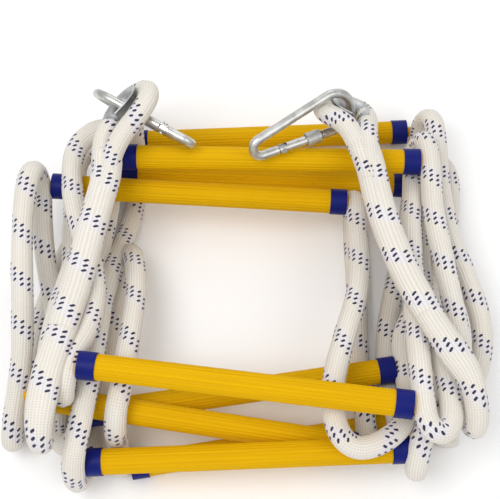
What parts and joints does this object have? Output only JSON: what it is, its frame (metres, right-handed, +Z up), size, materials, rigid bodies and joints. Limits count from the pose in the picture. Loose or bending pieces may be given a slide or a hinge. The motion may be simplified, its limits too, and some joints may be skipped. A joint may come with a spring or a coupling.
{
  "type": "escape rope ladder",
  "caption": "Folded rope escape ladder: two braided side ropes with sewn eyes round thimbles, ribbed round rungs with banded ends, and a locking snap hook at each eye.",
  "frame": {"origin": "on the surface the folded ladder lies on, under the middle of its overall outline", "axes": "+X along the rungs from the left rope to the right rope, +Y towards the eyes and hooks, +Z up"},
  "size_m": [0.4886, 0.4347, 0.1653],
  "materials": {
    "rope": "braided off-white synthetic fibre with dark tracer stitches",
    "sewn_rope": "doubled and stitched off-white braid",
    "rung": "golden yellow moulded plastic with fine lengthwise ribs",
    "rung_band": "blue smooth band",
    "hook_steel": "zinc-plated steel, slightly dull",
    "sleeve_steel": "zinc-plated steel, turned",
    "thimble_steel": "galvanised pressed steel"
  },
  "bodies": {
    "ladder": {"left_eye_splice": "sewn_rope", "left_rope_end_whipping": "sewn_rope", "left_side_rope": "rope", "left_thimble": "thimble_steel", "right_eye_splice": "sewn_rope", "right_rope_end_whipping": "sewn_rope", "right_side_rope": "rope", "right_thimble": "thimble_steel", "rung_1": "rung", "rung_1_left_band": "rung_band", "rung_1_right_band": "rung_band", "rung_2": "rung", "rung_2_left_band": "rung_band", "rung_2_right_band": "rung_band", "rung_3": "rung", "rung_3_left_band": "rung_band", "rung_3_right_band": "rung_band", "rung_4": "rung", "rung_4_left_band": "rung_band", "rung_4_right_band": "rung_band", "rung_5": "rung", "rung_5_left_band": "rung_band", "rung_5_right_band": "rung_band", "rung_6": "rung", "rung_6_left_band": "rung_band", "rung_6_right_band": "rung_band", "rung_7": "rung", "rung_7_left_band": "rung_band", "rung_7_right_band": "rung_band", "rung_8": "rung", "rung_8_left_band": "rung_band", "rung_8_right_band": "rung_band", "rung_9": "rung", "rung_9_left_band": "rung_band", "rung_9_right_band": "rung_band"},
    "left_hook": {"left_hook_body": "hook_steel", "left_hook_rivet": "hook_steel"},
    "left_gate": {"left_hook_gate": "hook_steel"},
    "left_lock_sleeve": {"left_hook_lock_sleeve": "sleeve_steel"},
    "right_hook": {"right_hook_body": "hook_steel", "right_hook_rivet": "hook_steel"},
    "right_gate": {"right_hook_gate": "hook_steel"},
    "right_lock_sleeve": {"right_hook_lock_sleeve": "sleeve_steel"}
  },
  "joints": [
    {"name": "left_hook_swing", "type": "hinge", "parent": "ladder", "child": "left_hook", "pos_m": [-0.13627, 0.15477, 0.12075], "axis": [0.5849, -0.2076, 0.7841], "range_deg": [-10, 7]},
    {"name": "left_gate_hinge", "type": "hinge", "parent": "left_hook", "child": "left_gate", "pos_m": [-0.08755, 0.13064, 0.13146], "axis": [-0.4822, -0.8065, -0.342], "range_deg": [0, 7], "stiffness_Nm_per_rad": 0.06, "springref_deg": -20.05},
    {"name": "left_lock_sleeve_slide", "type": "slide", "parent": "left_gate", "child": "left_lock_sleeve", "axis": [0.8744, -0.467, -0.1316], "range_m": [0, 0.008]},
    {"name": "right_hook_swing", "type": "hinge", "parent": "ladder", "child": "right_hook", "pos_m": [0.08184, 0.15192, 0.12679], "axis": [-0.3833, 0.8031, -0.4563], "range_deg": [0, 60]},
    {"name": "right_gate_hinge", "type": "hinge", "parent": "right_hook", "child": "right_gate", "pos_m": [0.03363, 0.11664, 0.11454], "axis": [0.4004, -0.7476, 0.5299], "range_deg": [0, 15], "stiffness_Nm_per_rad": 0.06, "springref_deg": -20.05},
    {"name": "right_lock_sleeve_slide", "type": "slide", "parent": "right_gate", "child": "right_lock_sleeve", "axis": [-0.9053, -0.4122, 0.1025], "range_m": [0, 0.008]}
  ]
}
